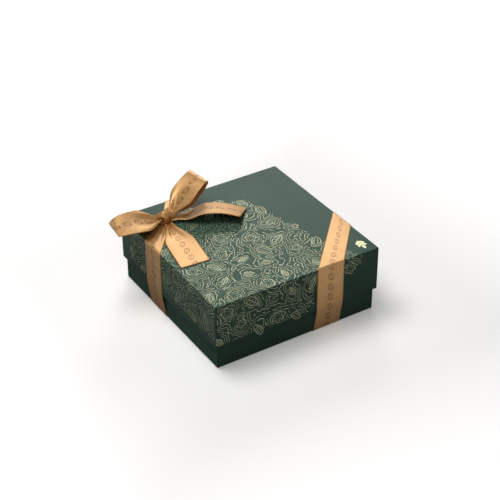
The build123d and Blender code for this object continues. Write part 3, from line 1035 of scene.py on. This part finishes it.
def make_chocolates(layer, kind, number, shape, material, slot):
    """The four chocolates of a kind in one layer: each row of the tray holds one of every kind."""
    node_name = f"{layer}_{kind}_pralines"
    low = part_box(node_name)[0]
    form = bmesh.new()
    places = range(pockets_each_way)
    for row in places:
        for column in places:
            if (row + column) % len(kinds) != number:
                continue
            verts = list(shape(form))
            spin = radians(draw.uniform(-loose_turn, loose_turn))
            bmesh.ops.rotate(form, verts=verts, cent=(0, 0, 0), matrix=Matrix.Rotation(spin, 3, "Z"))
            middle = (pockets_each_way - 1) / 2
            bmesh.ops.translate(form, verts=verts, vec=((column - middle) * pocket_pitch,
                                                        (row - middle) * pocket_pitch, low.z))
    bmesh.ops.remove_doubles(form, verts=form.verts, dist=0.001 * mm)
    bmesh.ops.recalc_face_normals(form, faces=form.faces)
    group = as_piece(f"{layer}_{kind}_chocolates", form, material, "base", slot)
    soften(group)
    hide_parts(node_name)


make_cushion_pad()
make_tray("upper_tray")
make_tray("lower_tray")
for layer in ("lower", "upper"):
    for number, (kind, shape, material, slot) in enumerate(kinds):
        make_chocolates(layer, kind, number, shape, material, slot)


# Finishes of the carried-over nodes

carried = {
    "lid_wrap": paper_green, "base_wrap": paper_green, "lid_board": raw_board,
    "base_board": raw_board, "lid_corner_stays": stay_kraft, "base_corner_stays": stay_kraft,
    "lid_lining": lining_cream, "base_lining": lining_cream, "layer_pad": pad_gold,
}
for name, material in carried.items():
    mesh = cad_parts[name].data
    mesh.materials.clear()
    mesh.materials.append(material)


# Floor, light and camera

floor_sink = 0.05 * mm
floor_seen, floor_bounce = 0.95, 0.4
floor_tint_shares = (1, 0.985, 0.97)
floor_glow, glow_from, glow_to = 0.2, 150 * mm, 600 * mm
floor_gloss, floor_gloss_left, gloss_turn = 0.85, 0.52, 30 * mm
floor_shade, floor_shade_reach = 0.2, 65 * mm
world_fill, overhead_gloss = 0.03, 0.25
horizon, overhead = 0.05, 0.6


def make_floor():
    """A pale floor. To the camera it is matt, with a glow that grows away from the box. In gloss it
    is plain light, dimmer on the left and next to the box, and matt surfaces get a dull bounce."""
    form = bmesh.new()
    bmesh.ops.create_grid(form, x_segments=1, y_segments=1, size=6)
    bmesh.ops.translate(form, verts=form.verts, vec=(0, 0, -floor_sink))
    material = bpy.data.materials.new("studio_floor")
    material.use_nodes = True
    tree = material.node_tree
    tree.nodes.clear()
    place = node(tree, "SeparateXYZ", {"Vector": node(tree, "TexCoord").outputs["Object"]}).outputs
    x_off, y_off = (maths(tree, "ABSOLUTE", place[axis]) for axis in "XY")
    off_box = maths(tree, "MAXIMUM", x_off, y_off)
    pale = node(tree, "BsdfDiffuse", {"Color": (*[floor_seen * tint for tint in floor_tint_shares], 1)})
    glow = node(tree, "Emission", {"Strength": ramp(tree, off_box, glow_from, glow_to, floor_glow, 1)})
    lit = node(tree, "AddShader", {0: pale.outputs[0], 1: glow.outputs[0]})
    leftward = maths(tree, "SUBTRACT", place["Y"], place["X"])
    side_gloss = ramp(tree, leftward, -gloss_turn, gloss_turn, floor_gloss, floor_gloss_left)
    shade = ramp(tree, off_box, base_half, base_half + floor_shade_reach, floor_shade, 1)
    mirrored = node(tree, "Emission", {"Strength": maths(tree, "MULTIPLY", side_gloss, shade)})
    dull = node(tree, "BsdfDiffuse", {"Color": (floor_bounce, floor_bounce, floor_bounce, 1)})
    ray = node(tree, "LightPath").outputs
    unseen = node(tree, "MixShader", {0: ray["Is Glossy Ray"], 1: dull.outputs[0],
                                      2: mirrored.outputs[0]})
    seen = maths(tree, "MAXIMUM", ray["Is Camera Ray"], ray["Is Transmission Ray"])
    choose = node(tree, "MixShader", {0: seen, 1: unseen.outputs[0], 2: lit.outputs[0]})
    node(tree, "OutputMaterial", {"Surface": choose.outputs[0]})
    floor = as_object("floor", form, material)


def make_softbox(name, place, aim, size, power):
    """A square softbox that points at a place."""
    lamp = bpy.data.lights.new(name, "AREA")
    lamp.shape = "SQUARE"
    lamp.size = size
    lamp.energy = power
    softbox = bpy.data.objects.new(name, lamp)
    softbox.location = place
    softbox.rotation_euler = (Vector(aim) - Vector(place)).to_track_quat("-Z", "Y").to_euler()
    scene.collection.objects.link(softbox)


def make_world():
    """White to the camera; in gloss, white low down and dim overhead; a dim fill on matt surfaces."""
    world = bpy.data.worlds.new("studio")
    world.use_nodes = True
    scene.world = world
    tree = world.node_tree
    ray = node(tree, "LightPath").outputs
    direction = node(tree, "TexCoord").outputs["Generated"]
    height = node(tree, "SeparateXYZ", {"Vector": direction}).outputs[2]
    surround = ramp(tree, height, horizon, overhead, 1.0, overhead_gloss)
    gloss = maths(tree, "MAXIMUM", ray["Is Glossy Ray"], ray["Is Transmission Ray"])
    mirrored = node(tree, "Mix", {0: gloss, 2: world_fill, 3: surround}).outputs[0]
    strength = node(tree, "Mix", {0: ray["Is Camera Ray"], 2: mirrored, 3: 1.0}).outputs[0]
    background = tree.nodes["Background"]
    background.inputs["Color"].default_value = (1, 1, 1, 1)
    tree.links.new(strength, background.inputs["Strength"])


def make_camera():
    """The camera at the photograph's angle, fitted to the box's corners in it."""
    azimuth, elevation, roll = radians(-31.92), radians(34.0), -0.0055
    distance, across, up_shift = 1116.6 * mm, -1.91 * mm, -11.17 * mm
    target = Vector((0, 0, 28.1 * mm))
    focal_pixels, frame_pixels, sensor = 1374.5, 500, 36
    back = Vector((sin(azimuth) * cos(elevation), -cos(azimuth) * cos(elevation), sin(elevation)))
    level = Vector((cos(azimuth), sin(azimuth), 0))
    upright = back.cross(level)
    right = level * cos(roll) + upright * sin(roll)
    up = upright * cos(roll) - level * sin(roll)
    data = bpy.data.cameras.new("view")
    data.lens = focal_pixels / frame_pixels * sensor
    data.sensor_width = sensor
    camera = bpy.data.objects.new("view", data)
    turned = Matrix((right, up, back)).transposed().to_4x4()
    place = target + back * distance - right * across - up * up_shift
    camera.matrix_world = Matrix.Translation(place) @ turned
    scene.collection.objects.link(camera)
    scene.camera = camera


make_floor()
make_world()
make_softbox("overhead_softbox", place=(-0.26, 0.22, 1.05), aim=(0, 0, 0), size=0.6, power=7.8)
make_softbox("front_softbox", place=(-0.4, -0.6, 0.85), aim=(0, 0, 0.03), size=0.6, power=1.9)
make_softbox("back_softbox", place=(0.53, 0.85, 0.68), aim=(0, 0, 0.03), size=0.4, power=2.6)
make_camera()
scene.view_settings.view_transform = "Standard"
